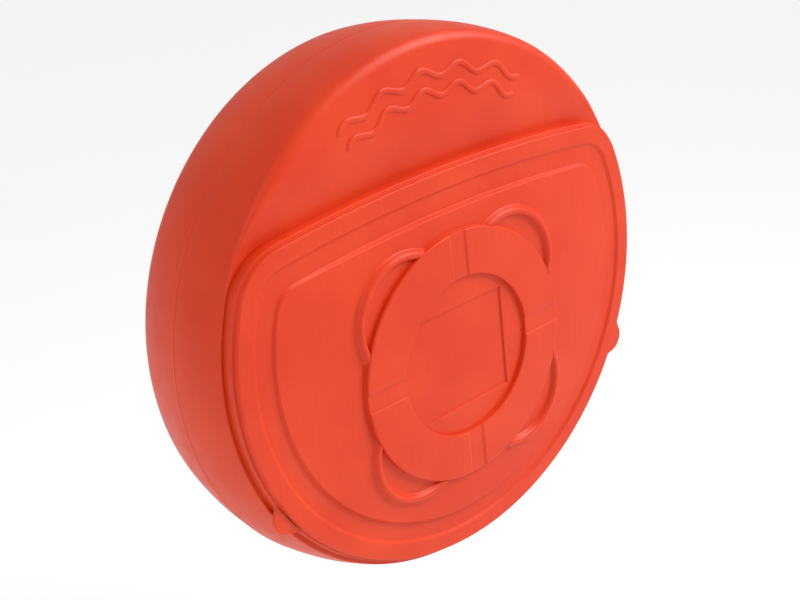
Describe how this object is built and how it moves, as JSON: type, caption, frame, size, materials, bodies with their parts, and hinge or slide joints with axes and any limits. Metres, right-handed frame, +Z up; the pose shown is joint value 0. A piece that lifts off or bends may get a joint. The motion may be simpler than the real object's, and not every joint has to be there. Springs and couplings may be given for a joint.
{
  "type": "life ring buoy case with ring",
  "caption": "Round wall case for a ring buoy, with a D-shaped pull-off cover that carries a raised ring picture; the ring and a line hub sit inside.",
  "frame": {"origin": "centre of the drum on the wall plane", "axes": "+Z up, front towards -Y, +X to the viewer's right"},
  "size_m": [0.8323, 0.2415, 0.8324],
  "materials": {
    "orange_polyethylene": "satin rotomoulded orange polyethylene",
    "ring_polyethylene": "smooth moulded orange polyethylene",
    "foam": "closed-cell foam",
    "reflective_tape": "silver retroreflective tape",
    "grey_plastic": "dark grey moulded plastic",
    "stainless_steel": "stainless steel",
    "aluminium": "aluminium",
    "black_rubber": "black rubber"
  },
  "bodies": {
    "case": {"housing_shell": "orange_polyethylene", "opening_seal": "black_rubber", "line_hub": "grey_plastic", "hub_flange": "grey_plastic", "hub_bolt": "stainless_steel", "hub_washer": "stainless_steel", "hub_screws": "stainless_steel", "ring_rest_left": "grey_plastic", "ring_rest_right": "grey_plastic", "rest_screws": "stainless_steel", "rest_washers": "stainless_steel", "fixing_plate_upper": "stainless_steel", "fixing_plate_lower": "stainless_steel", "plate_rivets": "aluminium", "drain_grommets": "black_rubber"},
    "cover": {"front_cover": "orange_polyethylene"},
    "ring": {"ring_shell": "ring_polyethylene", "ring_foam_core": "foam", "reflective_band_1": "reflective_tape", "reflective_band_2": "reflective_tape", "reflective_band_3": "reflective_tape", "reflective_band_4": "reflective_tape"}
  },
  "joints": [
    {"name": "cover_pull", "type": "slide", "parent": "case", "child": "cover", "axis": [0, -1, 0], "range_m": [0, 0.6]},
    {"name": "ring_tilt", "type": "hinge", "parent": "case", "child": "ring", "pos_m": [0, -0.072, 0.37], "axis": [-1, 0, 0], "range_deg": [0, 14]}
  ],
  "couplings": [
    {"joint": "ring_tilt", "follows": "cover_pull", "rad_per_m": 0.4}
  ]
}
